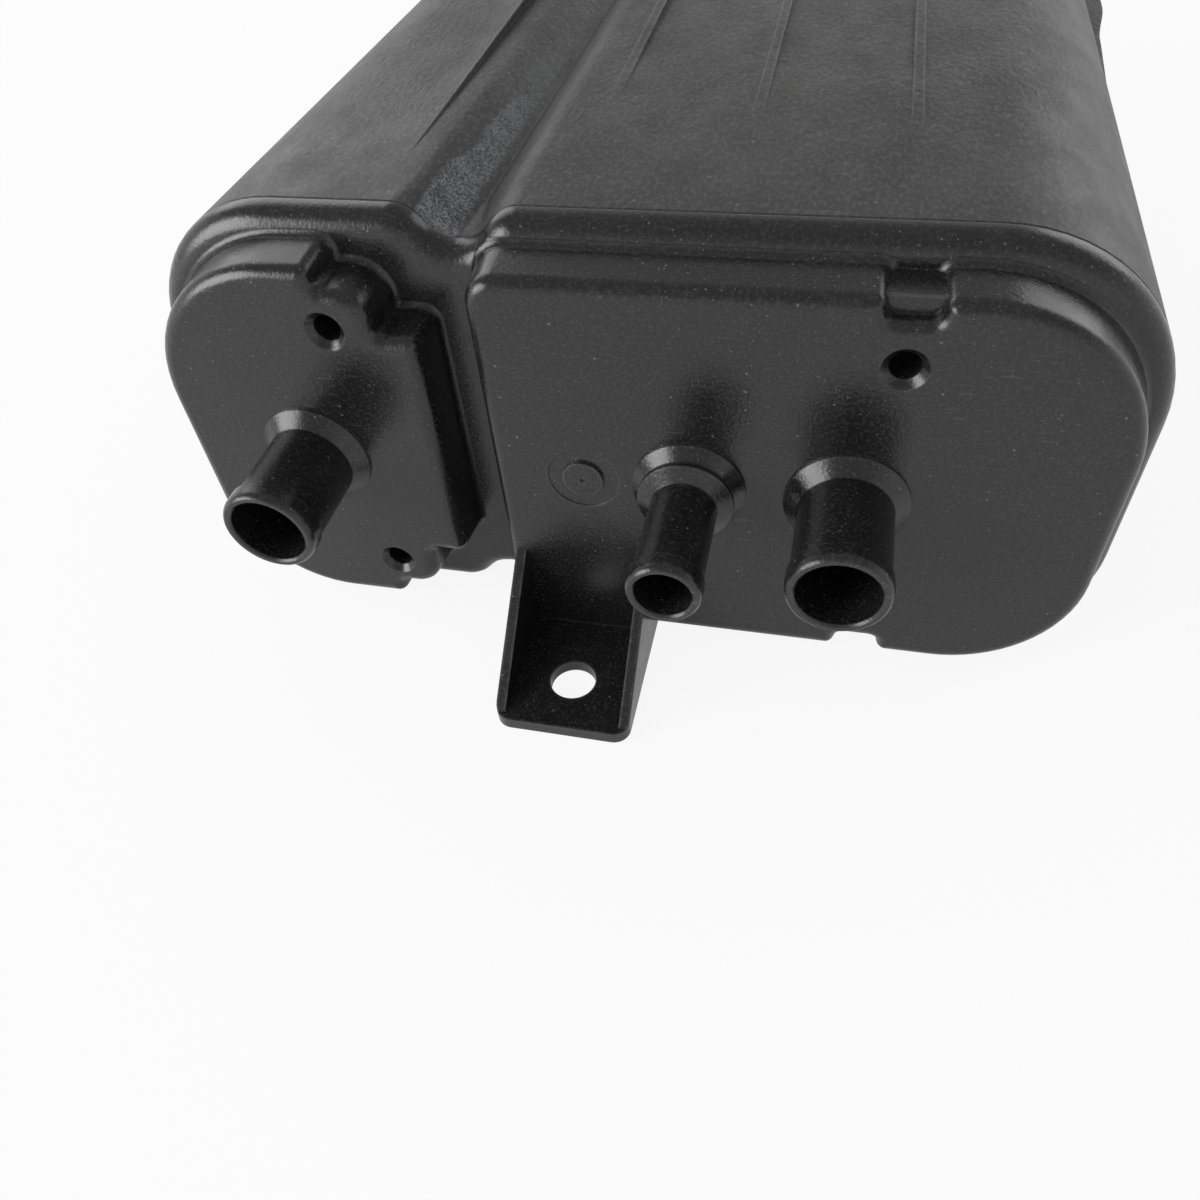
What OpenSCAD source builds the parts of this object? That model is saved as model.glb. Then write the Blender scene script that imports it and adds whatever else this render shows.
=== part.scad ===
// Two-chamber charcoal canister for fuel vapour.
// A moulded housing holds two carbon beds, and a front cover with hose nipples and a
// mounting bracket is welded to its open end.
// While it is drawn, x = 0 is the middle of the width, y = 0 is the front face of the cover's
// plateaus with +y to the rear, and z = 0 is the underside. in_part_frame() then moves it to
// its origin under the middle of its box.

/* [Body section] */
// Width over the flange and the housing
body_w = 174; // [168:0.2:184]
// Height over the flange and the housing
body_h = 84; // [80:0.5:94]
// Radius of the main chamber's upper outer corner
main_top_r = 31; // [28:0.5:32]
// Radius of the main chamber's lower outer corner
main_low_r = 24; // [23:0.5:27]
// Radius of the side chamber's upper outer corner
side_top_r = 27.5; // [26:0.5:29]
// Radius of the side chamber's lower outer corner
side_low_r = 26; // [25:0.5:28]
// Width of the side chamber, from its outer side to the middle of the valley between the chambers
side_w = 59.8; // [58.4:0.2:63]
// Half the width of the valley, up to the corners of its sloping sides
valley_half_w = 8; // [7.6:0.1:9]
// Slope of the valley's sides in degrees
valley_slope = 50; // [42:1:50]
// Radius of the valley's floor and shoulders
valley_r = 6.8; // [5:0.1:6.9]
// Distance of the crease in the housing's upper valley from the middle of the valley
crease_shift = 1; // [0:0.1:1.6]
// Radius of the crease in the housing's upper valley
crease_r = 0.6; // [0.3:0.1:2]
// Length behind the weld seam in which the valley's round floor turns into the crease
crease_run = 12; // [4:1:30]

/* [Housing] */
// Length from the weld seam to the outside of the rear wall
housing_l = 220; // [180:1:260]
// Wall thickness of the housing, its partition and the cover
wall = 2.5; // [2.2:0.1:2.8]
// Widening of the main chamber's outer side from the weld seam to the rear wall
main_flare = 2.7; // [0:0.1:3.4]
// Radius of the edge round the rear wall
rear_edge_r = 6; // [3:0.5:6.5]
// Width and depth of the groove along the weld seam
seam_groove = 0.2; // [0.1:0.05:0.4]
// Width of the wedge ribs on the top
rib_w = 2; // [1.5:0.1:3]
// Rise of the ribs above the top, for each unit of length
rib_rise = 0.02; // [0.01:0.001:0.03]
// Distance of the step in the side chamber's top from the middle of the valley
top_step_in = 13.8; // [13:0.1:16]
// Distance of the top step's start from the weld seam
top_step_start = 18; // [10:1:30]
// Rise of the top step, for each unit of length
top_step_rise = 0.024; // [0.01:0.001:0.03]
// Width in which the top step slopes back to the top
top_step_w = 14; // [10:0.5:16]
// Distance of the side lug's start from the weld seam
lug_start = 97; // [90:1:105]
// Length of the side lug
lug_l = 95; // [80:1:105]
// Length of the side lug's flat toe
lug_toe = 31; // [15:1:40]
// Rise of the side lug's flat toe
lug_toe_rise = 1.7; // [1:0.1:3]
// Length of the side lug's swell behind the toe
lug_swell = 28; // [15:1:40]
// Rise of the side lug's swell
lug_swell_rise = 3; // [2:0.1:4]
// Reach of the side lug past the flange's side
lug_reach = 3.6; // [3:0.1:6]
// Height of the side lug
lug_h = 14; // [8:0.5:18]
// Height of the side lug's upper edge above the middle of the housing
lug_top = 22.6; // [16:0.2:23]

/* [Front cover] */
// Thickness of the flange that is welded to the housing
flange_t = 5.1; // [4:0.1:6]
// Radius of the flange's front rim
rim_r = 4; // [2:0.1:4.2]
// Height of the plateaus above the flange
plateau_h = 10.2; // [9:0.1:12]
// Distance from the flange's top and bottom edge to the plateaus' walls
plateau_ledge = 4.3; // [4:0.1:5]
// Distance from the flange's edge to the main plateau's outer wall
main_ledge = 4.9; // [4:0.1:5.5]
// Distance from the flange's edge to the side plateau's outer wall
side_ledge = 3.7; // [3.5:0.1:5]
// Radius of the plateaus' upper outer corners
plateau_top_r = 27.5; // [26:0.5:28.5]
// Radius of the plateaus' lower outer corners
plateau_low_r = 23; // [21:0.5:25]
// Width of the gap between the plateaus
plateau_gap = 9.6; // [8:0.1:10.4]
// Radius of the edge round the plateaus' faces
plateau_edge_r = 2.6; // [1.8:0.1:2.7]
// Radius of the fillet at the plateaus' feet
plateau_fillet = 1.3; // [0.8:0.1:1.5]
// Draft of the plateaus' walls, from face to foot
plateau_draft = 0.5; // [0.2:0.1:0.6]
// Radius of the main plateau's corners beside the gap
gap_corner_r = 5; // [3:0.5:7]
// Distance of the notches from the main plateau's outer wall
notch_from_edge = 36.8; // [34:0.1:40]
// Width of the notches
notch_w = 8.6; // [8:0.1:9.6]
// Depth of the notches
notch_d = 3.7; // [3.4:0.1:4.5]
// Depth of the upper notch above the ledge at its foot
notch_ledge_d = 0.6; // [0.4:0.1:1.2]
// Length of the ledge at the upper notch's foot, along the cover's axis
notch_ledge_l = 7; // [3:0.1:7.5]
// Radius of the side plateau's corner bosses
boss_r = 8.1; // [7.8:0.1:8.6]
// Width of the step between a corner boss and the side plateau's long edge
boss_step = 0.6; // [0.2:0.1:1.5]
// Height of the shoulder below the upper corner boss, from the top of the body
upper_shoulder = 16.4; // [15.6:0.1:17.4]
// Height of the shoulder above the lower corner boss, from the underside
lower_shoulder = 18.9; // [17:0.1:20]

/* [Locating holes] */
// Distance of the blind locating holes from the body's top and underside
hole_from_edge = 15.2; // [14.6:0.1:16]
// Distance of the main plateau's holes from its outer wall
main_hole_in = 36.9; // [34:0.1:40]
// Distance of the side plateau's holes from its wall at the gap
side_hole_in = 15.4; // [14.8:0.1:16.4]
// Radius of the holes
hole_r = 2.4; // [1.5:0.1:2.8]
// Radius of the countersinks
sink_r = 3.6; // [3.2:0.1:4]
// Depth of the holes
hole_d = 9; // [6:0.5:11]
// Wall round the holes inside the cover
hole_wall = 1.8; // [1.2:0.1:2.2]

/* [Nipples] */
// Distance of the side nipple from the side plateau's outer wall
side_nipple_in = 26.3; // [24:0.1:28]
// Distance of the large main nipple from the main plateau's outer wall
main_nipple_in = 42.3; // [38:0.1:46]
// Distance between the large and the small main nipple
nipple_pitch = 26.65; // [25:0.05:29]
// Radius of the large tubes
large_tube_r = 7.95; // [7:0.05:8.2]
// Radius of the large tubes' bores
large_bore_r = 6.7; // [5.5:0.05:6.8]
// Reach of the large tubes from the plateaus' faces
large_reach = 21.6; // [18:0.1:26]
// Radius of the small tube
small_tube_r = 5.8; // [5.2:0.05:6.2]
// Radius of the small tube's bore
small_bore_r = 4.67; // [3.5:0.01:4.8]
// Reach of the small tube from the plateau's face
small_reach = 25.6; // [21:0.1:26.2]
// Height of the beads above the tubes
bead_rise = 0.45; // [0.2:0.05:0.8]
// Length of the step behind the beads
bead_step = 0.35; // [0.2:0.05:0.9]
// Length of the beads' cylindrical land
bead_land = 2.2; // [1.5:0.1:3]
// Length of the beads' rounded nose
bead_nose = 1.5; // [1:0.1:2.5]
// Chamfer at the mouths of the bores
mouth_chamfer = 0.35; // [0.2:0.05:0.5]
// Height of the conical collars at the tubes' feet
collar_h = 2.8; // [2:0.1:3.5]
// Width of the conical collars at the tubes' feet
collar_w = 2.5; // [1.5:0.1:3]
// Height of the upright edge round the collars
collar_edge = 0.5; // [0.2:0.1:1]
// Height of the small tube's upper collar above the lower one
upper_collar_h = 2.6; // [2:0.1:3.5]
// Height of the upright edge round the upper collar
upper_edge = 1.1; // [0.4:0.1:1.6]
// Depth of the neck between the small tube's two collars
collar_neck = 0.9; // [0.4:0.1:1.2]

/* [Gate mark] */
// Distance of the gate mark from the main plateau's wall at the gap
gate_in = 16.7; // [14:0.1:20]
// Radius of the shallow round recess
gate_r = 6.4; // [5.6:0.1:7.5]
// Depth of the recess
gate_d = 0.2; // [0.1:0.05:0.4]
// Radius of the raised disc in the recess
gate_disc_r = 3.7; // [3:0.1:4.5]
// Rise of the disc above the plateau's face
gate_rise = 0.4; // [0.2:0.05:0.8]
// Radius of the dimple in the middle of the disc
gate_dimple_r = 0.5; // [0.3:0.1:1]
// Depth of the dimple
gate_dimple_d = 0.25; // [0.1:0.05:0.4]

/* [Bracket] */
// Distance of the bracket's side from the main plateau's wall at the gap
bracket_in = 1.6; // [1:0.1:4]
// Width over the bracket's gussets
bracket_w = 26.4; // [24:0.2:28]
// Reach of the bracket from the plateaus' faces
bracket_reach = 26.4; // [26.2:0.1:32]
// Thickness of the bracket's plate
bracket_t = 2.6; // [2:0.1:3]
// Radius of the plate's front corners
bracket_corner_r = 3.2; // [1:0.1:4]
// Thickness of the gussets
gusset_t = 2; // [1.5:0.1:2.5]
// Height of the gussets at the plateau, above the underside
gusset_h = 22.4; // [15:0.2:26]
// Distance of the gussets' lower end from the plate's front edge
gusset_end = 1.6; // [1:0.1:4]
// Radius of the mounting hole
bracket_hole_r = 4.5; // [3:0.1:5.5]
// Distance of the mounting hole from the plate's front edge
bracket_hole_in = 11.4; // [9:0.1:13]

/* [Filling] */
// Clearance of the inner pieces from the chambers' walls
fit_gap = 0.2; // [0.1:0.05:0.3]
// Thickness of the front grids
grid_t = 2; // [1.5:0.1:3]
// Thickness of the fleece filters
fleece_t = 2.5; // [1.5:0.1:4]
// Thickness of the compression plates
plate_t = 3; // [2:0.1:4]
// Width of the slots in the grids and the plates
slot_w = 5; // [3:0.1:6]
// Height of the slots in the grids and the plates
slot_h = 13; // [8:0.5:14]
// Width of the bars between the slots
bar_w = 3; // [2:0.1:4]
// Width of the closed border round the slots
grid_border = 4; // [3:0.1:6]
// Length of the springs between the plates and the rear wall
spring_l = 30; // [24:0.5:36]
// Mean radius of the springs' coils
coil_r = 14; // [11:0.1:16]
// Radius of the springs' wire
wire_r = 1.1; // [0.8:0.05:1.4]
// Distance between the main chamber's springs
spring_pitch = 54; // [44:1:60]
// Height of the rings that centre the springs
seat_h = 3; // [2:0.1:4]
// Wall of the rings that centre the springs
seat_wall = 2; // [1.5:0.1:2.5]

/* [Hidden] */
$fn = 64;

black_plastic = [0.09, 0.09, 0.095];
grey_plastic = [0.35, 0.35, 0.36];
white_fleece = [0.86, 0.85, 0.81];
carbon = [0.05, 0.05, 0.055];
spring_steel = [0.66, 0.67, 0.69];

// Overlap of pieces that are joined, and of cuts past the faces that they open
joint = 1;

// Levels along the axis and the height
mid_z = body_h / 2;
seam_y = plateau_h + flange_t;
rear_y = seam_y + housing_l;
floor_y = rear_y - wall;
plate_back_y = floor_y - spring_l;
partition_end_y = plate_back_y + seat_h;

// Order of the inner pieces along the axis
fleece_front_y = seam_y + grid_t;
bed_front_y = fleece_front_y + fleece_t;
plate_front_y = plate_back_y - plate_t;
bed_back_y = plate_front_y - fleece_t;

// Places across the width
valley_x = side_w - body_w / 2;
main_edge = body_w / 2 - main_ledge;
main_inner = valley_x + plateau_gap / 2;
side_edge = side_ledge - body_w / 2;
side_inner = valley_x - plateau_gap / 2;
plateau_low = plateau_ledge;
plateau_top = body_h - plateau_ledge;
main_nipple_x = main_edge - main_nipple_in;
small_nipple_x = main_nipple_x - nipple_pitch;
side_nipple_x = side_edge + side_nipple_in;
notch_x = main_edge - notch_from_edge;
main_hole_x = main_edge - main_hole_in;
side_hole_x = side_inner - side_hole_in;
gate_x = main_inner + gate_in;
hole_levels = [hole_from_edge, body_h - hole_from_edge];

// Bracket
bracket_x = main_inner + bracket_in;
bracket_tip = -bracket_reach;
bracket_root = plateau_h + joint;
bracket_hole_x = bracket_x + bracket_w / 2;
bracket_hole_y = bracket_tip + bracket_hole_in;

// Chambers
main_chamber_x = (valley_x + body_w / 2) / 2 - wall / 4;
side_chamber_x = (valley_x - body_w / 2) / 2 + wall / 4;
main_spring_xs = [main_chamber_x - spring_pitch / 2, main_chamber_x + spring_pitch / 2];
seat_r = coil_r - wire_r - 2 * fit_gap;

// Top ribs: distance from the middle of the valley, and start behind the weld seam
top_ribs = [[17.2, 42], [44.2, 35], [71.2, 33]];

// The origin: under the middle of the box round the whole canister
middle_x = lug_reach / 2;
middle_y = (rear_y - max(bracket_reach, small_reach, large_reach)) / 2;

module in_part_frame() {
    translate([-middle_x, -middle_y, 0])
        children();
}

// Outlines with rounded corners
// A corner is [x, z, radius], and a list of corners runs anticlockwise seen from the front.
large_corner_r = 12;
large_corner_steps = 16;
small_corner_steps = 6;
least_r = 0.05;

function place(corner) = [corner[0], corner[1]];
function unit(v) = v / norm(v);
function left_of(v) = [-v[1], v[0]];
function turned(v, angle) = [
    v[0] * cos(angle) - v[1] * sin(angle),
    v[0] * sin(angle) + v[1] * cos(angle)
];
function turn_between(a, b) = atan2(a[0] * b[1] - a[1] * b[0], a * b);
function edge_way(corners, i) =
    unit(place(corners[(i + 1) % len(corners)]) - place(corners[i]));

// The arc at corner i, after the whole outline has moved inwards by inset
function corner_arc(corners, i, inset) =
    let (
        count = len(corners),
        a = edge_way(corners, (i + count - 1) % count),
        b = edge_way(corners, i),
        turn = turn_between(a, b),
        r = max(corners[i][2] - sign(turn) * inset, least_r),
        tip = place(corners[i]) + inset * (left_of(a) + left_of(b)) / (1 + a * b),
        start = tip - a * r * tan(abs(turn) / 2),
        centre = start + sign(turn) * r * left_of(a),
        steps = corners[i][2] > large_corner_r ? large_corner_steps : small_corner_steps
    )
    [for (k = [0:steps]) centre + turned(start - centre, turn * k / steps)];

function outline(corners, inset = 0) =
    [for (i = [0:len(corners) - 1]) each corner_arc(corners, i, inset)];

// The body's section: two chambers side by side, with a valley between them at top and bottom
valley_v = valley_half_w * tan(valley_slope);
body_corners = [
    [-body_w / 2, 0, side_low_r],
    [valley_x - valley_half_w, 0, valley_r],
    [valley_x, valley_v, valley_r],
    [valley_x + valley_half_w, 0, valley_r],
    [body_w / 2, 0, main_low_r],
    [body_w / 2, body_h, main_top_r],
    [valley_x + valley_half_w, body_h, valley_r],
    [valley_x, body_h - valley_v, valley_r],
    [valley_x - valley_half_w, body_h, valley_r],
    [-body_w / 2, body_h, side_top_r]
];

// The housing's outside behind the seam, with its main side moved out by flare. Its upper valley
// has a crease, level with the cover's valley floor.
crease_d = valley_v - valley_r * (1 / cos(valley_slope) - 1);
main_low_corner = 4;
main_top_corner = 5;
upper_valley_corner = 7;
function housing_corner(i, flare) =
    i == upper_valley_corner ? [valley_x + crease_shift, body_h - crease_d, crease_r] :
    i == main_low_corner || i == main_top_corner ? body_corners[i] + [flare, 0, 0] :
    body_corners[i];
function housing_corners(flare) =
    [for (i = [0:len(body_corners) - 1]) housing_corner(i, flare)];

// The main plateau, with a notch in its lower and its upper wall
notch_lean = 0.9;
notch_r = 1.8;
function notch(level, depth, way) = [
    [notch_x - way * notch_w / 2, level, notch_r],
    [notch_x - way * (notch_w / 2 - notch_lean), level + depth, notch_r],
    [notch_x + way * (notch_w / 2 - notch_lean), level + depth, notch_r],
    [notch_x + way * notch_w / 2, level, notch_r]
];
main_plateau = concat(
    [[main_inner, plateau_low, gap_corner_r]],
    notch(plateau_low, notch_d, 1),
    [[main_edge, plateau_low, plateau_low_r]],
    [[main_edge, plateau_top, plateau_top_r]],
    notch(plateau_top, -notch_d, -1),
    [[main_inner, plateau_top, gap_corner_r]]
);

// The side plateau, with stepped corners round the locating holes beside the gap
step_x = side_hole_x - boss_step;
boss_x = side_hole_x + boss_r;
boss_reach = boss_r - 1.2;
boss_low = hole_from_edge - boss_reach;
boss_top = body_h - boss_low;
shoulder_low = lower_shoulder;
shoulder_top = body_h - upper_shoulder;
shoulder_r = 1.8;
crook_r = 1.5;
step_lean = 0.3;
boss_corner_r = 5.2;
side_plateau = [
    [side_edge, plateau_low, plateau_low_r],
    [step_x - step_lean, plateau_low, shoulder_r],
    [step_x + step_lean, boss_low, crook_r],
    [boss_x - step_lean, boss_low, boss_corner_r],
    [boss_x + step_lean, shoulder_low, crook_r],
    [side_inner, shoulder_low, shoulder_r],
    [side_inner, shoulder_top, shoulder_r],
    [boss_x + step_lean, shoulder_top, crook_r],
    [boss_x - step_lean, boss_top, boss_corner_r],
    [step_x + step_lean, boss_top, crook_r],
    [step_x - step_lean, plateau_top, shoulder_r],
    [side_edge, plateau_top, plateau_top_r]
];

// The vapour space behind the side plateau stays clear of the stepped corners
side_space = [
    [side_edge + wall, plateau_low + wall, plateau_low_r - wall],
    [step_x - wall, plateau_low + wall, shoulder_r],
    [step_x - wall, shoulder_low + wall, crook_r],
    [side_inner - wall, shoulder_low + wall, shoulder_r],
    [side_inner - wall, shoulder_top - wall, shoulder_r],
    [step_x - wall, shoulder_top - wall, crook_r],
    [step_x - wall, plateau_top - wall, shoulder_r],
    [side_edge + wall, plateau_top - wall, plateau_top_r - wall]
];

// Solids from outlines
// A ring is [y, points], and all rings of a loft have the same number of points. The first half of
// the points runs along the bottom and the second half back along the top, so each end is closed
// by a ladder of quads between the two.
module loft(rings) {
    count = len(rings[0][1]);
    last = len(rings) - 1;
    base = last * count;
    points = [for (ring = rings) for (p = ring[1]) [p[0], ring[0], p[1]]];
    front = [
        for (j = [0:count / 2 - 2])
            [count - 1 - j, count - 2 - j, j + 1, j]
    ];
    back = [
        for (j = [0:count / 2 - 2])
            [base + j, base + j + 1, base + count - 2 - j, base + count - 1 - j]
    ];
    sides = [
        for (j = [0:last - 1], i = [0:count - 1])
            [
                j * count + i,
                j * count + (i + 1) % count,
                (j + 1) * count + (i + 1) % count,
                (j + 1) * count + i
            ]
    ];
    polyhedron(points, concat(front, sides, back));
}

module along_y(y, length) {
    translate([0, y + length, 0])
        rotate([90, 0, 0])
            linear_extrude(length)
                children();
}

module along_x(x, length) {
    translate([x, 0, 0])
        rotate([90, 0, 90])
            linear_extrude(length)
                children();
}

// A cylinder along the axis, from y towards the rear
module peg(x, y, z, r, length) {
    translate([x, y + length, z])
        rotate([90, 0, 0])
            cylinder(r = r, h = length);
}

round_steps = 6;

// Rings of a convex round, from the front at y
function round_front(corners, y, r) = [
    for (k = [0:round_steps])
        let (a = 90 * k / round_steps)
            [y + r * (1 - cos(a)), outline(corners, r * (1 - sin(a)))]
];

// Housing
function housing_rings() = concat(
    [
        [seam_y, outline(body_corners, seam_groove)],
        [seam_y + seam_groove, outline(body_corners, seam_groove)],
        [seam_y + 2 * seam_groove, outline(body_corners)],
        [seam_y + crease_run, outline(housing_corners(main_flare * crease_run / housing_l))]
    ],
    [
        for (k = [0:round_steps])
            let (a = 90 * k / round_steps)
                [
                    rear_y - rear_edge_r * (1 - sin(a)),
                    outline(housing_corners(main_flare), rear_edge_r * (1 - cos(a)))
                ]
    ]
);

// Inside section of one chamber, moved inwards by inset
module chamber_section(main, inset) {
    near = wall / 2 + inset;
    intersection() {
        polygon(outline(body_corners, wall + inset));
        translate([main ? valley_x + near : valley_x - near - body_w, 0])
            square([body_w, body_h]);
    }
}

module top_rib(rib) {
    start = seam_y + rib[1];
    end = rear_y - rear_edge_r;
    along_x(valley_x + rib[0] - rib_w / 2, rib_w)
        polygon([
            [start, body_h],
            [start, body_h - wall / 2],
            [end, body_h - wall / 2],
            [end, body_h + rib_rise * (end - start)]
        ]);
}

// The step in the side chamber's top: an upright wall beside the valley that rises to the rear, and
// a slope from its upper edge back to the top
module top_step() {
    start = seam_y + top_step_start;
    end = rear_y - rear_edge_r;
    near = valley_x - top_step_in;
    far = near - top_step_w;
    low = body_h - wall / 2;
    points = [
        [near, start, low], [near, end, low], [far, end, low],
        [near, start, body_h], [near, end, body_h + top_step_rise * (end - start)], [far, end, body_h]
    ];
    polyhedron(points, [[0, 1, 2], [3, 5, 4], [0, 3, 4, 1], [1, 4, 5, 2], [2, 5, 3, 0]]);
}

// The side lug's plan: a flat toe, then a swell that rises and levels out smoothly
swell_steps = 8;
module side_lug() {
    inside = body_w / 2 - 2 * wall;
    outside = body_w / 2 + lug_reach;
    start = seam_y + lug_start;
    swell_start = start + lug_toe;
    toe_x = outside - lug_swell_rise - lug_toe_rise;
    translate([0, 0, mid_z + lug_top - lug_h])
        linear_extrude(lug_h)
            polygon(concat(
                [[inside, start], [toe_x, start]],
                [
                    for (k = [0:swell_steps])
                        let (s = k / swell_steps)
                            [
                                outside - lug_swell_rise * (1 + cos(180 * s)) / 2,
                                swell_start + lug_swell * s
                            ]
                ],
                [[outside, start + lug_l], [inside, start + lug_l]]
            ));
}

module spring_seat(x, y) {
    along_y(y, seat_h)
        translate([x, mid_z])
            difference() {
                circle(seat_r);
                circle(seat_r - seat_wall);
            }
}

module housing() {
    color(black_plastic)
        in_part_frame() {
            difference() {
                union() {
                    loft(housing_rings());
                    for (rib = top_ribs)
                        top_rib(rib);
                    top_step();
                    side_lug();
                }
                for (main = [true, false])
                    along_y(seam_y - joint, floor_y - seam_y + joint)
                        chamber_section(main, 0);
                translate([valley_x - wall, partition_end_y, mid_z - slot_h])
                    cube([2 * wall, floor_y - partition_end_y, 2 * slot_h]);
            }
            for (x = concat(main_spring_xs, [side_chamber_x]))
                spring_seat(x, floor_y - seat_h + joint / 2);
        }
}

// Front cover
function flange_rings() = concat(
    round_front(body_corners, plateau_h, rim_r),
    [
        [seam_y - seam_groove, outline(body_corners)],
        [seam_y, outline(body_corners, seam_groove)]
    ]
);

// The plateaus' feet end in a fillet that stops just short of the flange's face.
fillet_sweep = 75;
fillet_steps = 3;
function plateau_rings(corners) = concat(
    round_front(corners, 0, plateau_edge_r),
    [
        for (k = [0:fillet_steps])
            let (b = fillet_sweep * k / fillet_steps)
                [
                    plateau_h - plateau_fillet * (1 - sin(b)),
                    outline(corners, -plateau_draft - plateau_fillet * (1 - cos(b)))
                ]
    ],
    [[plateau_h + flange_t / 2, outline(corners, -plateau_draft - plateau_fillet)]]
);

module notch_ledge() {
    depth = notch_d + wall;
    translate([
        notch_x - notch_w / 2,
        plateau_h - notch_ledge_l,
        plateau_top - notch_ledge_d - depth
    ])
        cube([notch_w, notch_ledge_l + joint, depth]);
}

// Half section of a tube with its bead, from radius and height above the plateau's face
nose_steps = 4;
function tube_profile(r, reach) = concat(
    [
        [r, reach - bead_nose - bead_land - bead_step],
        [r + bead_rise, reach - bead_nose - bead_land]
    ],
    [
        for (k = [0:nose_steps])
            let (a = 75 * k / nose_steps)
                [
                    r - bead_rise + 2 * bead_rise * cos(a),
                    reach - bead_nose * (1 - sin(a) / sin(75))
                ]
    ],
    [[0, reach]]
);

// Half section of a collar: an upright edge, then a cone from its outer to its inner radius
function collar_profile(outer, inner, low, edge, high) =
    [[outer, low], [outer, low + edge], [inner, high]];

module turned_nipple(x, profile) {
    translate([x, 0, mid_z])
        rotate([90, 0, 0])
            rotate_extrude()
                polygon(concat([[0, -wall / 2], [profile[0][0], -wall / 2]], profile));
}

module large_nipple(x) {
    turned_nipple(x, concat(
        collar_profile(large_tube_r + collar_w, large_tube_r, 0, collar_edge, collar_h),
        tube_profile(large_tube_r, large_reach)
    ));
}

module small_nipple(x) {
    upper_r = small_tube_r + collar_w;
    neck_r = upper_r - collar_neck;
    upper_h = collar_h + upper_collar_h;
    turned_nipple(x, concat(
        collar_profile(neck_r + collar_w, neck_r, 0, collar_edge, collar_h),
        collar_profile(upper_r, small_tube_r, collar_h, upper_edge, upper_h),
        tube_profile(small_tube_r, small_reach)
    ));
}

bracket_corners = [
    [bracket_x, bracket_tip, bracket_corner_r],
    [bracket_x + bracket_w, bracket_tip, bracket_corner_r],
    [bracket_x + bracket_w, bracket_root, least_r],
    [bracket_x, bracket_root, least_r]
];

module gusset(x) {
    along_x(x, gusset_t)
        polygon([
            [wall / 2, bracket_t / 2],
            [wall / 2, gusset_h],
            [0, gusset_h],
            [bracket_tip + gusset_end, bracket_t],
            [bracket_tip + gusset_end, bracket_t / 2]
        ]);
}

module bracket() {
    difference() {
        linear_extrude(bracket_t)
            polygon(outline(bracket_corners));
        translate([bracket_hole_x, bracket_hole_y, -joint])
            cylinder(r = bracket_hole_r, h = bracket_t + 2 * joint);
    }
    intersection() {
        linear_extrude(gusset_h)
            polygon(outline(bracket_corners));
        union() {
            gusset(bracket_x);
            gusset(bracket_x + bracket_w - gusset_t);
        }
    }
    translate([bracket_x, 0, 0])
        cube([bracket_w, bracket_root, plateau_low + plateau_edge_r + joint / 2]);
}

module locating_hole(x, z) {
    translate([x, 0, z])
        rotate([-90, 0, 0])
            rotate_extrude()
                polygon([
                    [0, -joint],
                    [sink_r + joint, -joint],
                    [sink_r, 0],
                    [hole_r, sink_r - hole_r],
                    [hole_r, hole_d],
                    [0, hole_d]
                ]);
}

module gate_disc() {
    peg(gate_x, -gate_rise, mid_z, gate_disc_r, gate_rise + wall / 2);
}

module gate_recess() {
    difference() {
        peg(gate_x, -joint, mid_z, gate_r, joint + gate_d);
        peg(gate_x, -2 * joint, mid_z, gate_disc_r, 4 * joint);
    }
    peg(gate_x, -gate_rise - joint, mid_z, gate_dimple_r, joint + gate_dimple_d);
}

// The vapour spaces behind the plateaus, with solid bosses round the main locating holes
module vapour_spaces() {
    along_y(wall, seam_y)
        polygon(outline(side_space));
    difference() {
        along_y(wall, seam_y)
            polygon(outline(main_plateau, wall));
        for (z = hole_levels)
            peg(main_hole_x, 0, z, hole_r + hole_wall, seam_y);
    }
}

module nipple_bore(x, r, reach) {
    peg(x, -reach - joint, mid_z, r, reach + wall + 2 * joint);
    translate([x, 0, mid_z])
        rotate([90, 0, 0])
            rotate_extrude()
                polygon([
                    [0, reach - mouth_chamfer],
                    [r, reach - mouth_chamfer],
                    [r + mouth_chamfer + joint, reach + joint],
                    [0, reach + joint]
                ]);
}

module front_cover() {
    color(black_plastic)
        in_part_frame()
            difference() {
                union() {
                    loft(flange_rings());
                    loft(plateau_rings(main_plateau));
                    loft(plateau_rings(side_plateau));
                    notch_ledge();
                    large_nipple(main_nipple_x);
                    large_nipple(side_nipple_x);
                    small_nipple(small_nipple_x);
                    bracket();
                    gate_disc();
                }
                vapour_spaces();
                nipple_bore(main_nipple_x, large_bore_r, large_reach);
                nipple_bore(side_nipple_x, large_bore_r, large_reach);
                nipple_bore(small_nipple_x, small_bore_r, small_reach);
                for (z = hole_levels, x = [side_hole_x, main_hole_x])
                    locating_hole(x, z);
                gate_recess();
            }
}

// Filling of one chamber
module slots(x) {
    columns = ceil(body_w / (slot_w + bar_w) / 2);
    rows = ceil(body_h / (slot_h + bar_w) / 2);
    for (i = [-columns:columns], j = [-rows:rows])
        translate([x + i * (slot_w + bar_w), mid_z + j * (slot_h + bar_w)])
            square([slot_w, slot_h], center = true);
}

module slotted_section(main) {
    difference() {
        chamber_section(main, fit_gap);
        intersection() {
            chamber_section(main, fit_gap + grid_border);
            slots(main ? main_chamber_x : side_chamber_x);
        }
    }
}

module front_grid(main) {
    color(grey_plastic)
        in_part_frame()
            along_y(seam_y, grid_t)
                slotted_section(main);
}

module fleece(main, y) {
    color(white_fleece)
        in_part_frame()
            along_y(y, fleece_t)
                chamber_section(main, fit_gap);
}

module carbon_bed(main) {
    color(carbon)
        in_part_frame()
            along_y(bed_front_y, bed_back_y - bed_front_y)
                chamber_section(main, fit_gap);
}

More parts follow.
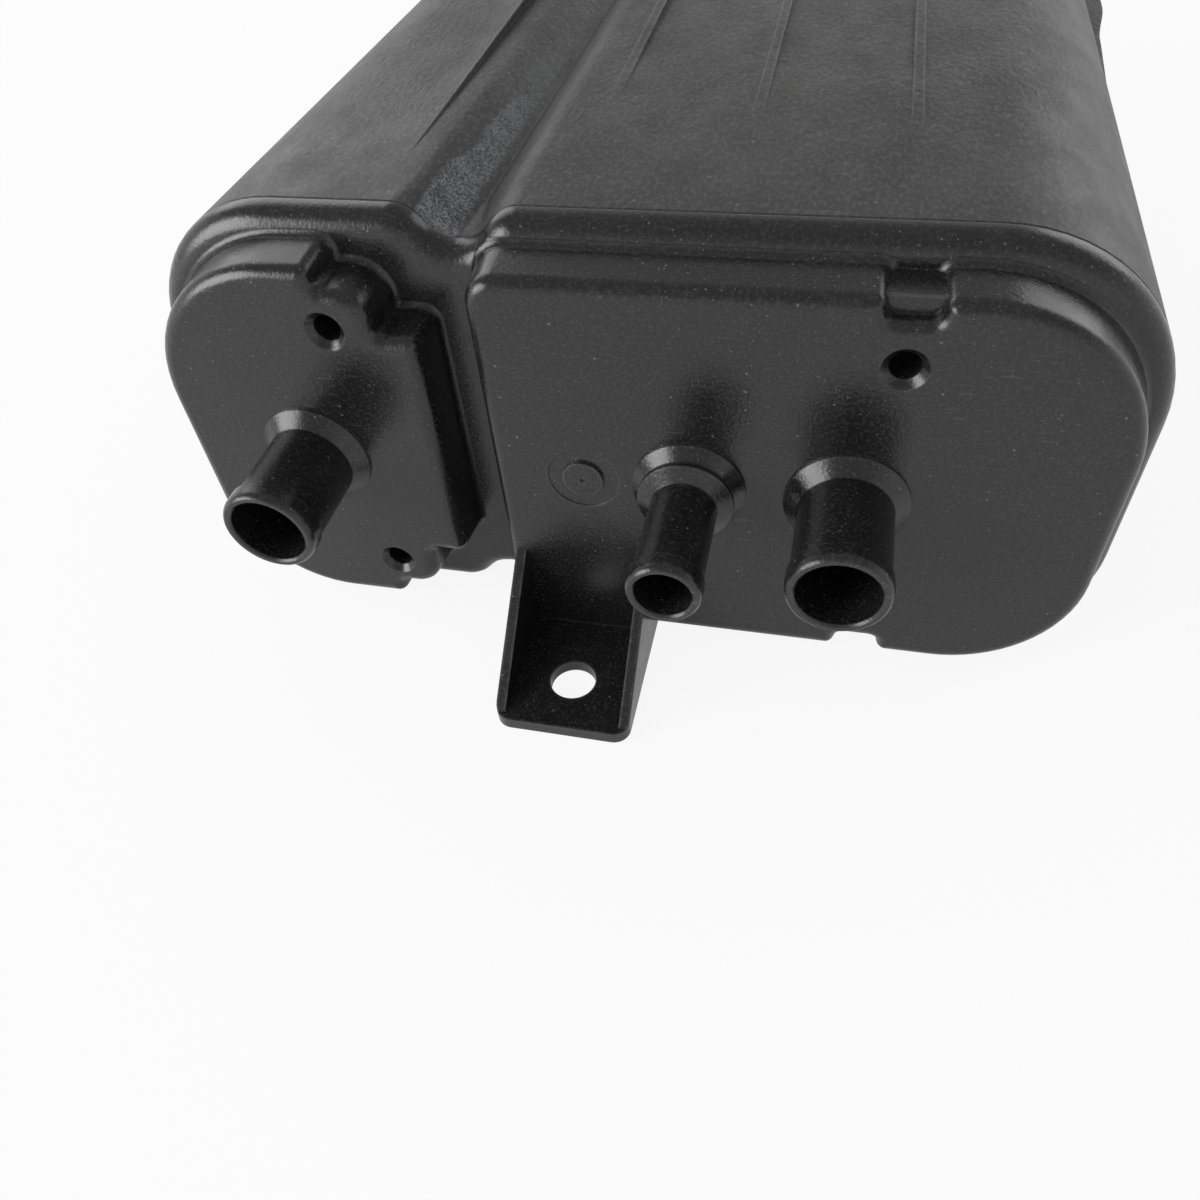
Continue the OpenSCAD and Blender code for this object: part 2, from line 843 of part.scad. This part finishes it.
module compression_plate(main, spring_xs) {
    color(grey_plastic)
        in_part_frame() {
            along_y(plate_front_y, plate_t)
                difference() {
                    chamber_section(main, fit_gap);
                    intersection() {
                        chamber_section(main, fit_gap + grid_border);
                        difference() {
                            slots(main ? main_chamber_x : side_chamber_x);
                            for (x = spring_xs)
                                translate([x, mid_z])
                                    circle(coil_r + wire_r);
                        }
                    }
                }
            for (x = spring_xs)
                spring_seat(x, plate_back_y - joint / 2);
        }
}

// A coil spring along the axis, with one closed turn at each end
spring_turns = 5;
turn_steps = 16;
wire_sides = 8;
closed_rise = 2 * wire_r + fit_gap;
function coil_y(u, low, high) =
    u < 1 ? low + closed_rise * u :
    u > spring_turns - 1 ? high - closed_rise * (spring_turns - u) :
    low + closed_rise + (high - low - 2 * closed_rise) * (u - 1) / (spring_turns - 2);

module spring(x) {
    low = plate_back_y + wire_r + fit_gap / 2;
    high = floor_y - wire_r - fit_gap / 2;
    last = spring_turns * turn_steps;
    points = [
        for (k = [0:last], s = [0:wire_sides - 1])
            let (
                t = 360 * k / turn_steps,
                a = 360 * s / wire_sides,
                r = coil_r + wire_r * cos(a),
                y = coil_y(k / turn_steps, low, high) + wire_r * sin(a)
            )
            [x + r * cos(t), y, mid_z + r * sin(t)]
    ];
    start = [[for (s = [0:wire_sides - 1]) s]];
    end = [[for (s = [wire_sides - 1:-1:0]) last * wire_sides + s]];
    sides = [
        for (k = [0:last - 1], s = [0:wire_sides - 1])
            [
                k * wire_sides + s,
                (k + 1) * wire_sides + s,
                (k + 1) * wire_sides + (s + 1) % wire_sides,
                k * wire_sides + (s + 1) % wire_sides
            ]
    ];
    color(spring_steel)
        in_part_frame()
            polyhedron(points, concat(start, sides, end));
}

housing();
front_cover();
front_grid(true);  // main_front_grid
fleece(true, fleece_front_y);  // main_front_fleece
carbon_bed(true);  // main_carbon_bed
fleece(true, bed_back_y);  // main_rear_fleece
compression_plate(true, main_spring_xs);  // main_compression_plate
spring(main_spring_xs[0]);  // main_spring_inner
spring(main_spring_xs[1]);  // main_spring_outer
front_grid(false);  // side_front_grid
fleece(false, fleece_front_y);  // side_front_fleece
carbon_bed(false);  // side_carbon_bed
fleece(false, bed_back_y);  // side_rear_fleece
compression_plate(false, [side_chamber_x]);  // side_compression_plate
spring(side_chamber_x);  // side_spring
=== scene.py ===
# Looks of a two-chamber charcoal canister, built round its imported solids.
import math

import bpy
from mathutils import Euler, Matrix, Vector


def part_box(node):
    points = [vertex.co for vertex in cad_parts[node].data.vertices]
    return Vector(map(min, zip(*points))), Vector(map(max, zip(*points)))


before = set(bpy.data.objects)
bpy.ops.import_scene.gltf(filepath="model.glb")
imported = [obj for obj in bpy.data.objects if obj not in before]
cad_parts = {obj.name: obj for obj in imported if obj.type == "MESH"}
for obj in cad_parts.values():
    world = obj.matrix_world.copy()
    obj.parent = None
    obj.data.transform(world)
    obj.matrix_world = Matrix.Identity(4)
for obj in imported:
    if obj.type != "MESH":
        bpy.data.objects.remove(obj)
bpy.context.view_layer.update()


def grey(level):
    return (level, level, level, 1)


MM = 0.001

# Camera, at the photograph's viewing angle
IMAGE_PX = 1200
FOCAL_PX = 970.0
SENSOR_MM = 36.0
CLIP_START = 10 * MM
CAMERA_PLACE = Vector((32.7, -229.8, 154.1)) * MM
CAMERA_TURN = Euler([math.radians(a) for a in (42.22, 4.24, 12.84)], "XYZ")

# Places on the canister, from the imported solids: weld seam, top, and valley between the chambers
SEAM_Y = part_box("housing")[0].y
TOP_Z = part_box("front_cover")[1].z
VALLEY_X = (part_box("main_carbon_bed")[0].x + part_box("side_carbon_bed")[1].x) / 2
CREASE_SHIFT = 1.0 * MM
CREASE_X = VALLEY_X + CREASE_SHIFT

# Lamps, in metres and watts
KEY_POWER = 6.5
KEY_SIZE = 0.70
KEY_PLACE = (-0.82, -0.62, 0.40)
KEY_AIM = (0, -0.05, 0.04)
REAR_POWER = 1.0
REAR_SIZE = 0.60
REAR_AIM = (0, 0, 0.06)
REAR_PLACES = {"rear_left": (-0.60, 0.50, 0.50), "rear_right": (0.60, 0.60, 0.45)}

# World: a pale backdrop whose ceiling is darker, and a plain fill
BACKDROP_COLOUR = grey(0.8)
WORLD_FILL = 0.60
CEILING_FROM = 0.15
CEILING_TO = 0.75
CEILING_LEVEL = 0.42

# Floor, with the share of plain white that is seen directly and in reflections
FLOOR_COLOUR = grey(0.9)
FLOOR_WHITE = 0.90
FLOOR_MIRRORED = 0.45
FLOOR_REACH = 6.0
FLOOR_DROP = 0.2 * MM

# Shading of the meshes and of their edges
WELD_DISTANCE = 0.002 * MM
SMOOTH_ANGLE = math.radians(28)
EDGE_ROUND = 0.35 * MM
# The edge mark is wear and painted highlight: the colour is lightened along sharp outer edges
EDGE_WEAR_AND_HIGHLIGHT_REACH = 0.6 * MM
EDGE_WEAR_AND_HIGHLIGHT_SHARE = 0.8
EDGE_SAMPLES = 2

# Dust: a speck's core and rim as shares of its cell, and how much more lies on faces that look up
SPECK_CORE = 0.07
SPECK_RIM = 0.16
DUST_ON_TOP = 3

# Both black plastics: how strongly the haze covers the base
HAZE_SHARE = 0.60

# Tones and gloss of the cover's plastic
COVER_DEEP = grey(0.0070)
COVER_LIGHT = grey(0.0130)
COVER_HAZE = grey(0.042)
# Edge tone: wear and painted highlight along the outer edges
COVER_EDGE_WEAR_AND_HIGHLIGHT = grey(0.085)
COVER_SCRATCH = grey(0.100)
COVER_FINE_DUST = grey(0.100)
COVER_DUST = grey(0.13)
COVER_IOR = 1.58
SCRATCH_SHARE = 0.6
WORN_ROUGHNESS = 0.15

# Tones and gloss of the housing's plastic
HOUSING_DEEP = (0.0110, 0.0106, 0.0101, 1)
HOUSING_LIGHT = (0.0270, 0.0263, 0.0255, 1)
HOUSING_HAZE = grey(0.085)
# Edge tone: wear and painted highlight along the outer edges
HOUSING_EDGE_WEAR_AND_HIGHLIGHT = grey(0.15)
HOUSING_DUST = grey(0.12)
HOUSING_IOR = 1.5
STREAK_SHARE = 0.6
SCUFF_TONE = (0.240, 0.258, 0.275, 1)
SCUFF_ROUGHNESS = 0.25

# Scuffed strip: its borders left of the crease, its depth under the top, and its run from the seam
SCUFF_LEFT = (8.2 * MM, 7.4 * MM)
SCUFF_RIGHT = (2.0 * MM, 1.0 * MM)
SCUFF_DEPTH = 9.5 * MM
SCUFF_RAGGED = (12 * MM, 30 * MM)
SCUFF_RAGGED_BY = 5 * MM
SCUFF_FADE = (10 * MM, 110 * MM)
SCUFF_CLUMPS = 0.30

# The housing's moulded grain is full only behind this stretch, measured from the seam
GRAIN_RISE = (10 * MM, 60 * MM)
GRAIN_AT_SEAM = 0.3

# Tones of the pieces inside, as the two ends of each mottle
GREY_PLASTIC_TONES = (grey(0.28), grey(0.36))
FLEECE_TONES = ((0.62, 0.60, 0.55, 1), (0.84, 0.83, 0.78, 1))
CARBON_TONES = (grey(0.03), grey(0.008))
STEEL_TONES = (grey(0.45), grey(0.62))


class Nodes:
    """A node tree, with short calls for the nodes used here."""

    def __init__(self, tree):
        self.tree = tree
        self.tree.nodes.clear()

    def node(self, kind, **inputs):
        made = self.tree.nodes.new(kind)
        self.put_all(made, **inputs)
        return made

    def put(self, socket, value):
        if isinstance(value, bpy.types.NodeSocket):
            self.tree.links.new(value, socket)
        else:
            socket.default_value = value

    def put_all(self, node, **inputs):
        """Fills the sockets that the keywords name, with _ for a space."""
        for key, value in inputs.items():
            self.put(node.inputs[key.replace("_", " ")], value)

    def math(self, operation, a, b):
        made = self.node("ShaderNodeMath")
        made.operation = operation
        self.put(made.inputs[0], a)
        self.put(made.inputs[1], b)
        return made.outputs[0]

    def product(self, first, *others):
        for other in others:
            first = self.math("MULTIPLY", first, other)
        return first

    def span(self, value, low, high, to_low=0.0, to_high=1.0):
        """Carries the range from low to high over to another range, with soft ends."""
        ends = {"From_Min": low, "From_Max": high, "To_Min": to_low, "To_Max": to_high}
        made = self.node("ShaderNodeMapRange", Value=value, **ends)
        made.interpolation_type = "SMOOTHSTEP"
        return made.outputs[0]

    def blend(self, share, a, b):
        """One shader or background passing into another."""
        made = self.node("ShaderNodeMixShader")
        for socket, value in zip(made.inputs, (share, a, b)):
            self.put(socket, value)
        return made.outputs[0]

    def white_share(self, seen, mirrored):
        """How much plain background a ray gets: seen by the camera, or mirrored or let through."""
        rays = self.node("ShaderNodeLightPath").outputs
        bounced = self.math("MAXIMUM", rays["Is Glossy Ray"], rays["Is Transmission Ray"])
        direct = self.product(rays["Is Camera Ray"], seen)
        return self.math("MAXIMUM", direct, self.product(bounced, mirrored))


class Shader(Nodes):
    """A material's nodes round one principled shader, in the object's own coordinates."""

    def __init__(self, name):
        self.material = bpy.data.materials.new(name)
        self.material.use_nodes = True
        super().__init__(self.material.node_tree)
        self.bsdf = self.node("ShaderNodeBsdfPrincipled")
        self.output = self.node("ShaderNodeOutputMaterial", Surface=self.bsdf.outputs[0])
        self.place = self.node("ShaderNodeTexCoord").outputs["Object"]

    def set(self, **inputs):
        self.put_all(self.bsdf, **inputs)

    def axis(self, letter):
        return self.node("ShaderNodeSeparateXYZ", Vector=self.place).outputs[letter]

    def behind_seam(self):
        return self.math("SUBTRACT", self.axis("Y"), SEAM_Y)

    def scaled(self, scale):
        return self.node("ShaderNodeMapping", Vector=self.place, Scale=scale).outputs[0]

    def noise(self, size, detail=3.0, rough=0.5, stretch=(1, 1, 1)):
        """Noise whose features are about size metres across, longer where stretch is small."""
        where = self.scaled([s / size for s in stretch])
        made = self.node("ShaderNodeTexNoise", Vector=where, Detail=detail, Roughness=rough, Scale=1.0)
        return made.outputs["Fac"]

    def cells(self, size):
        where = self.scaled([1 / size] * 3)
        return self.node("ShaderNodeTexVoronoi", Vector=where, Scale=1.0).outputs

    def mix(self, share, a, b):
        made = self.node("ShaderNodeMix")
        made.data_type = "RGBA"
        self.put_all(made, Factor=share, A=a, B=b)
        return made.outputs["Result"]

    def bump(self, height, depth, strength, normal=None):
        made = self.node("ShaderNodeBump", Height=height, Distance=depth, Strength=strength)
        if normal is not None:
            self.put(made.inputs["Normal"], normal)
        return made.outputs[0]

    def rounded_edges(self):
        made = self.node("ShaderNodeBevel", Radius=EDGE_ROUND)
        made.samples = EDGE_SAMPLES
        return made.outputs[0]


def dust(shader, size, share):
    """Light specks: one small dot in a share of the cells, most of them on faces that look up."""
    cells = shader.cells(size)
    dot = shader.span(cells["Distance"], SPECK_CORE, SPECK_RIM, to_low=1.0, to_high=0.0)
    pick = shader.node("ShaderNodeSeparateColor", Color=cells["Color"]).outputs[0]
    normal = shader.node("ShaderNodeNewGeometry").outputs["Normal"]
    up = shader.node("ShaderNodeSeparateXYZ", Vector=normal).outputs["Z"]
    settled = shader.span(up, low=0.1, high=0.8, to_low=share, to_high=DUST_ON_TOP * share)
    return shader.product(dot, shader.math("LESS_THAN", pick, settled))


def edge_wear_and_highlight(shader):
    """Worn edges with painted highlight: where the surface turns over a sharp outer edge, broken up by
    noise.
    """
    inside = shader.node("ShaderNodeAmbientOcclusion", Distance=EDGE_WEAR_AND_HIGHLIGHT_REACH)
    inside.inside = True
    inside.only_local = True
    inside.samples = EDGE_SAMPLES
    edge = shader.span(inside.outputs["AO"], low=0.66, high=0.96, to_low=1.0, to_high=0.0)
    patches = shader.noise(size=2.5 * MM, detail=2)
    patchy = shader.span(patches, low=0.30, high=0.60, to_low=0.35)
    return shader.product(edge, patchy, EDGE_WEAR_AND_HIGHLIGHT_SHARE)


def scratches(shader):
    """Faint fine scratches that run across the faces, in patches."""
    lines = shader.noise(size=0.30 * MM, detail=1, stretch=(0.05, 1.0, 0.8))
    fine = shader.span(lines, low=0.66, high=0.76)
    patches = shader.noise(size=18 * MM, detail=2)
    patchy = shader.span(patches, low=0.50, high=0.66, to_high=SCRATCH_SHARE)
    return shader.product(fine, patchy)


def scuff_mask(shader):
    """The worn strip on the left slope of the housing's upper valley, strongest at the seam."""
    across = shader.axis("X")
    behind = shader.behind_seam()
    ragged = shader.span(behind, *SCUFF_RAGGED, to_high=SCUFF_RAGGED_BY)
    drift = shader.product(shader.noise(size=3.5 * MM, detail=5, rough=0.65), ragged)
    drifted = shader.math("SUBTRACT", across, drift)
    left = shader.span(drifted, *[CREASE_X - way for way in SCUFF_LEFT])
    right = shader.span(across, *[CREASE_X - way for way in SCUFF_RIGHT], to_low=1.0, to_high=0.0)
    high = shader.math("GREATER_THAN", shader.axis("Z"), TOP_Z - SCUFF_DEPTH)
    fade = shader.span(behind, *SCUFF_FADE, to_low=1.0, to_high=0.0)
    strokes = shader.noise(size=0.36 * MM, detail=2, rough=0.6, stretch=(0.7, 1.2, 1.0))
    clumps = shader.product(shader.noise(size=5 * MM), SCUFF_CLUMPS)
    scratched = shader.span(shader.math("ADD", strokes, clumps), low=0.60, high=0.76)
    return shader.product(left, right, high, fade, scratched)


def cover_plastic():
    """Glossy black plastic with a fine haze, worn edges with painted highlight, faint scratches and
    dust.
    """
    shader = Shader("cover_plastic")
    base = shader.mix(shader.noise(size=14 * MM), COVER_DEEP, COVER_LIGHT)
    flecks = shader.noise(size=0.60 * MM, rough=0.7)
    haze = shader.span(flecks, low=0.46, high=0.66, to_high=HAZE_SHARE)
    hazy = shader.mix(haze, base, COVER_HAZE)
    # Outer edges lightened: wear and painted highlight
    worn_and_highlit_edge = edge_wear_and_highlight(shader)
    edged = shader.mix(worn_and_highlit_edge, hazy, COVER_EDGE_WEAR_AND_HIGHLIGHT)
    rubbed = shader.mix(scratches(shader), edged, COVER_SCRATCH)
    dusty = shader.mix(dust(shader, size=0.75 * MM, share=0.22), rubbed, COVER_FINE_DUST)
    small = dust(shader, size=1.0 * MM, share=0.14)
    large = dust(shader, size=1.7 * MM, share=0.10)
    specks = shader.math("MAXIMUM", small, large)
    shader.set(Base_Color=shader.mix(specks, dusty, COVER_DUST))
    gloss = shader.noise(size=5 * MM, rough=0.6)
    satin = shader.span(gloss, low=0.25, high=0.75, to_low=0.17, to_high=0.25)
    shader.set(Roughness=shader.math("ADD", satin, shader.product(worn_and_highlit_edge, WORN_ROUGHNESS)))
    shader.set(IOR=COVER_IOR)
    swell = shader.noise(size=16 * MM, detail=1)
    wavy = shader.bump(swell, depth=0.20 * MM, strength=0.30, normal=shader.rounded_edges())
    grain = shader.noise(size=0.6 * MM, rough=0.6)
    shader.set(Normal=shader.bump(grain, depth=0.06 * MM, strength=0.80, normal=wavy))
    return shader.material


def housing_plastic():
    """Satin black plastic with pale bands, moulded grain, worn edges with painted highlight and the
    scuffed strip.
    """
    shader = Shader("housing_plastic")
    bands = shader.noise(size=26 * MM, detail=4, stretch=(1.0, 0.45, 1.0))
    streaks = shader.noise(size=3.5 * MM, detail=4, rough=0.6, stretch=(1.0, 0.35, 1.0))
    uneven = shader.math("ADD", bands, shader.product(streaks, STREAK_SHARE))
    base = shader.mix(shader.span(uneven, low=0.50, high=1.10), HOUSING_DEEP, HOUSING_LIGHT)
    flecks = shader.noise(size=0.7 * MM, detail=4, rough=0.65, stretch=(1.0, 0.45, 1.0))
    haze = shader.span(flecks, low=0.46, high=0.64, to_high=HAZE_SHARE)
    hazy = shader.mix(haze, base, HOUSING_HAZE)
    # Outer edges lightened: wear and painted highlight
    edged = shader.mix(edge_wear_and_highlight(shader), hazy, HOUSING_EDGE_WEAR_AND_HIGHLIGHT)
    dusty = shader.mix(dust(shader, size=2.6 * MM, share=0.08), edged, HOUSING_DUST)
    scuffed = scuff_mask(shader)
    shader.set(Base_Color=shader.mix(scuffed, dusty, SCUFF_TONE))
    gloss = shader.noise(size=9 * MM, rough=0.65, stretch=(1.0, 0.6, 1.0))
    satin = shader.span(gloss, low=0.25, high=0.75, to_low=0.36, to_high=0.48)
    shader.set(Roughness=shader.math("ADD", satin, shader.product(scuffed, SCUFF_ROUGHNESS)))
    shader.set(IOR=HOUSING_IOR)
    swell = shader.noise(size=22 * MM, detail=1)
    wavy = shader.bump(swell, depth=0.3 * MM, strength=0.3, normal=shader.rounded_edges())
    pebbles = shader.noise(size=1.2 * MM, detail=4, rough=0.65, stretch=(1.0, 0.5, 1.0))
    rise = shader.span(shader.behind_seam(), *GRAIN_RISE, to_low=GRAIN_AT_SEAM)
    grain = shader.product(pebbles, rise)
    shader.set(Normal=shader.bump(grain, depth=0.32 * MM, strength=0.9, normal=wavy))
    return shader.material


def grey_plastic():
    shader = Shader("grey_plastic")
    shader.set(Base_Color=shader.mix(shader.noise(size=8 * MM), *GREY_PLASTIC_TONES))
    gloss = shader.noise(size=3 * MM)
    shader.set(Roughness=shader.span(gloss, low=0.3, high=0.7, to_low=0.42, to_high=0.55))
    grain = shader.noise(size=0.6 * MM)
    shader.set(Normal=shader.bump(grain, depth=0.03 * MM, strength=0.4))
    return shader.material


def fleece():
    shader = Shader("fleece")
    fibres = shader.noise(size=1.5 * MM, detail=6, rough=0.7, stretch=(1, 1, 4))
    shader.set(Base_Color=shader.mix(fibres, *FLEECE_TONES))
    shader.set(Roughness=0.95, Sheen_Weight=0.3)
    shader.set(Normal=shader.bump(fibres, depth=0.3 * MM, strength=0.8))
    return shader.material


def carbon():
    shader = Shader("carbon")
    grains = shader.cells(size=2.2 * MM)["Distance"]
    shader.set(Base_Color=shader.mix(grains, *CARBON_TONES))
    gloss = shader.noise(size=2 * MM)
    shader.set(Roughness=shader.span(gloss, low=0.3, high=0.7, to_low=0.45, to_high=0.8))
    shader.set(Normal=shader.bump(grains, depth=0.8 * MM, strength=1.0))
    return shader.material


def spring_steel():
    shader = Shader("spring_steel")
    shader.set(Base_Color=shader.mix(shader.noise(size=5 * MM), *STEEL_TONES))
    shader.set(Metallic=1.0)
    gloss = shader.noise(size=1 * MM, detail=5)
    shader.set(Roughness=shader.span(gloss, low=0.3, high=0.7, to_low=0.24, to_high=0.38))
    return shader.material


def smooth_by_angle():
    """A node group that smooths the faces and leaves edges past SMOOTH_ANGLE sharp."""
    group = bpy.data.node_groups.new("smooth_by_angle", "GeometryNodeTree")
    for way in ("INPUT", "OUTPUT"):
        group.interface.new_socket("Geometry", in_out=way, socket_type="NodeSocketGeometry")
    start = group.nodes.new("NodeGroupInput")
    end = group.nodes.new("NodeGroupOutput")
    faces = group.nodes.new("GeometryNodeSetShadeSmooth")
    edges = group.nodes.new("GeometryNodeSetShadeSmooth")
    edges.domain = "EDGE"
    angle = group.nodes.new("GeometryNodeInputMeshEdgeAngle")
    gentle = group.nodes.new("FunctionNodeCompare")
    gentle.operation = "LESS_THAN"
    gentle.inputs["B"].default_value = SMOOTH_ANGLE
    group.links.new(start.outputs[0], faces.inputs["Geometry"])
    group.links.new(faces.outputs[0], edges.inputs["Geometry"])
    group.links.new(angle.outputs["Unsigned Angle"], gentle.inputs["A"])
    group.links.new(gentle.outputs[0], edges.inputs["Shade Smooth"])
    group.links.new(edges.outputs[0], end.inputs[0])
    return group


def dress(piece, material, smoothing):
    """Gives a CAD piece its material and smooth shading."""
    piece.data.materials.clear()
    piece.data.materials.append(material)
    weld = piece.modifiers.new("weld", "WELD")
    weld.merge_threshold = WELD_DISTANCE
    smooth = piece.modifiers.new("smooth", "NODES")
    smooth.node_group = smoothing
    weighted = piece.modifiers.new("weighted", "WEIGHTED_NORMAL")
    weighted.keep_sharp = True


def dress_all():
    """Dresses each piece by the word in its name that says what it is."""
    smoothing = smooth_by_angle()
    looks = {
        "housing": housing_plastic(),
        "cover": cover_plastic(),
        "grid": grey_plastic(),
        "fleece": fleece(),
        "carbon": carbon(),
        "spring": spring_steel(),
    }
    looks["plate"] = looks["grid"]
    for name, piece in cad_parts.items():
        material = next(look for word, look in looks.items() if word in name)
        dress(piece, material, smoothing)


def add_to_scene(name, data):
    made = bpy.data.objects.new(name, data)
    bpy.context.scene.collection.objects.link(made)
    return made


def add_floor():
    shader = Shader("floor")
    shader.set(Base_Color=FLOOR_COLOUR, Roughness=0.9, Specular_IOR_Level=0.1)
    white = shader.node("ShaderNodeEmission", Color=grey(1.0)).outputs[0]
    share = shader.white_share(FLOOR_WHITE, FLOOR_MIRRORED)
    shown = shader.blend(share, shader.bsdf.outputs[0], white)
    shader.put(shader.output.inputs["Surface"], shown)
    mesh = bpy.data.meshes.new("floor")
    signs = ((-1, -1), (1, -1), (1, 1), (-1, 1))
    corners = [(x * FLOOR_REACH, y * FLOOR_REACH, 0) for x, y in signs]
    mesh.from_pydata(corners, [], [(0, 1, 2, 3)])
    mesh.materials.append(shader.material)
    floor = add_to_scene("floor", mesh)
    floor.location.z = -FLOOR_DROP


def add_world():
    """The backdrop for rays that show it, darker overhead, and a plain fill for the rest."""
    world = bpy.data.worlds.new("studio")
    world.use_nodes = True
    bpy.context.scene.world = world
    nodes = Nodes(world.node_tree)
    direction = nodes.node("ShaderNodeTexCoord").outputs["Generated"]
    up = nodes.node("ShaderNodeSeparateXYZ", Vector=direction).outputs["Z"]
    level = nodes.span(up, CEILING_FROM, CEILING_TO, to_low=1.0, to_high=CEILING_LEVEL)
    fill = nodes.node("ShaderNodeBackground", Color=BACKDROP_COLOUR, Strength=WORLD_FILL)
    backdrop = nodes.node("ShaderNodeBackground", Color=BACKDROP_COLOUR, Strength=level)
    share = nodes.white_share(seen=1.0, mirrored=1.0)
    shown = nodes.blend(share, fill.outputs[0], backdrop.outputs[0])
    nodes.node("ShaderNodeOutputWorld", Surface=shown)


def add_lamp(name, place, aim, size, power):
    lamp = bpy.data.lights.new(name, "AREA")
    lamp.shape = "DISK"
    lamp.size = size
    lamp.energy = power
    light = add_to_scene(name, lamp)
    light.location = place
    towards = Vector(aim) - Vector(place)
    light.rotation_euler = towards.to_track_quat("-Z", "Y").to_euler()


def add_lamps():
    add_lamp("key", KEY_PLACE, KEY_AIM, KEY_SIZE, KEY_POWER)
    for name, place in REAR_PLACES.items():
        add_lamp(name, place, REAR_AIM, REAR_SIZE, REAR_POWER)


def add_camera():
    lens = bpy.data.cameras.new("camera")
    lens.sensor_width = SENSOR_MM
    lens.lens = FOCAL_PX / IMAGE_PX * SENSOR_MM
    lens.clip_start = CLIP_START
    camera = add_to_scene("camera", lens)
    camera.location = CAMERA_PLACE
    camera.rotation_euler = CAMERA_TURN
    bpy.context.scene.camera = camera


bpy.context.scene.view_settings.view_transform = "Standard"
add_camera()
dress_all()
add_floor()
add_world()
add_lamps()
